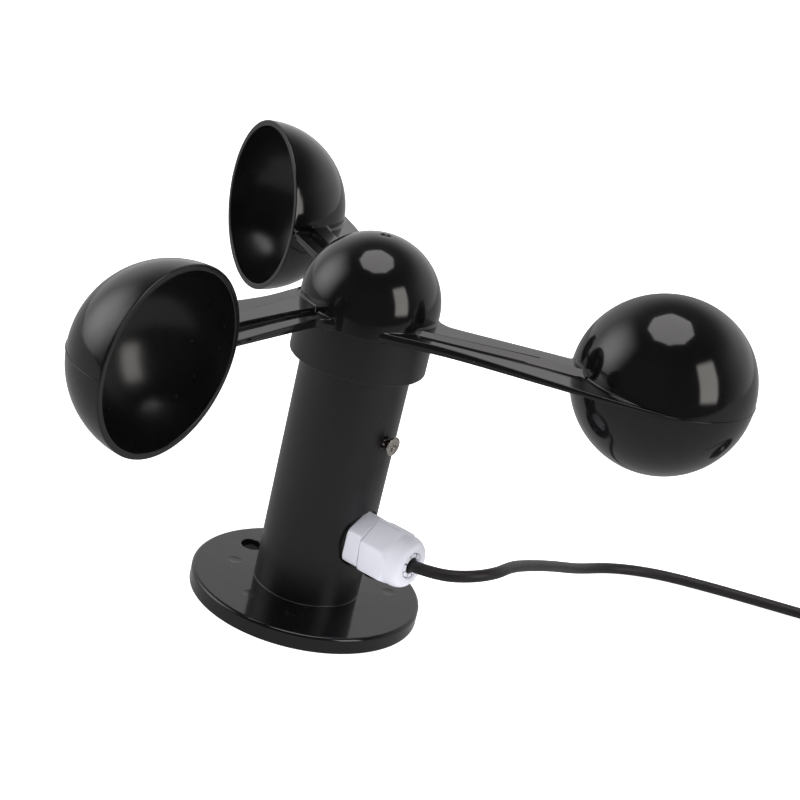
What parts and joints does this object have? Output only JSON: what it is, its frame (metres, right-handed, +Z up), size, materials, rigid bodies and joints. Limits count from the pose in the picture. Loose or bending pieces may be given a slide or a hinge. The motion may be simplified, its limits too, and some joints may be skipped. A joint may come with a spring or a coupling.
{
  "type": "cup anemometer",
  "caption": "Wind speed sensor: hemispherical cups on arms spin a domed hub over a tubular stand with a round base, cable gland and signal cable.",
  "frame": {"origin": "centre of the round base's underside, on the rotor's axis", "axes": "+Z up along the rotor shaft, +X out along the first cup's arm at rest"},
  "size_m": [0.2803, 0.1975, 0.1181],
  "materials": {
    "gloss_black": "glossy moulded ABS",
    "satin_black": "satin moulded ABS",
    "gland_white": "smooth moulded nylon",
    "black_rubber": "matte",
    "screw_steel": "bright plated",
    "bearing_steel": "ground and polished",
    "shield_steel": "pressed sheet",
    "cage_nylon": "moulded nylon",
    "shaft_steel": "ground",
    "spacer_alu": "turned",
    "holder_grey": "moulded",
    "magnet_nickel": "nickel plated",
    "board_green": "solder mask",
    "chip_black": "moulded epoxy",
    "component_tan": "ceramic",
    "component_can": "drawn can",
    "header_white": "moulded nylon",
    "cable_jacket": "soft PVC, slight sheen",
    "tie_black": "coated wire",
    "lead_insulation": "PVC core insulation",
    "lead_tin": "tinned copper"
  },
  "bodies": {
    "stand": {"base_flange": "gloss_black", "stand_tube": "satin_black", "side_screw": "screw_steel", "bearing_carrier": "satin_black", "upper_bearing_outer_ring": "bearing_steel", "upper_bearing_shields": "shield_steel", "lower_bearing_outer_ring": "bearing_steel", "lower_bearing_shields": "shield_steel", "gland_body": "gland_white", "gland_gasket": "black_rubber", "gland_seal": "black_rubber", "gland_dome_nut": "gland_white", "circuit_board": "board_green", "board_screws": "screw_steel", "hall_sensor": "chip_black", "driver_chip": "chip_black", "small_components": "component_tan", "filter_capacitor": "component_can", "wire_header": "header_white", "wire_plug": "header_white", "inner_cable": "cable_jacket", "inner_wires": "lead_insulation", "sensor_cable": "cable_jacket", "cable_coil": "cable_jacket", "cable_tie": "tie_black", "cable_tail": "cable_jacket", "lead_wires": "lead_insulation", "lead_tips": "lead_tin"},
    "rotor": {"rotor_hub": "gloss_black", "rotor_arm_1": "gloss_black", "rotor_arm_2": "gloss_black", "rotor_arm_3": "gloss_black", "cup_1": "gloss_black", "cup_2": "gloss_black", "cup_3": "gloss_black", "rotor_shaft": "shaft_steel", "upper_bearing_inner_ring": "bearing_steel", "lower_bearing_inner_ring": "bearing_steel", "bearing_spacer": "spacer_alu", "retaining_clip": "shaft_steel", "magnet_holder": "holder_grey", "magnets": "magnet_nickel"},
    "upper_balls": {"upper_bearing_balls": "bearing_steel", "upper_bearing_cage": "cage_nylon"},
    "lower_balls": {"lower_bearing_balls": "bearing_steel", "lower_bearing_cage": "cage_nylon"}
  },
  "joints": [
    {"name": "rotor_spin", "type": "hinge", "parent": "stand", "child": "rotor", "pos_m": [0, 0, 0.08], "axis": [0, 0, 1], "continuous": true},
    {"name": "upper_balls_spin", "type": "hinge", "parent": "stand", "child": "upper_balls", "pos_m": [0, 0, 0.0825], "axis": [0, 0, 1], "continuous": true},
    {"name": "lower_balls_spin", "type": "hinge", "parent": "stand", "child": "lower_balls", "pos_m": [0, 0, 0.0625], "axis": [0, 0, 1], "continuous": true}
  ],
  "couplings": [
    {"joint": "upper_balls_spin", "follows": "rotor_spin", "ratio": 0.36},
    {"joint": "lower_balls_spin", "follows": "rotor_spin", "ratio": 0.36}
  ]
}
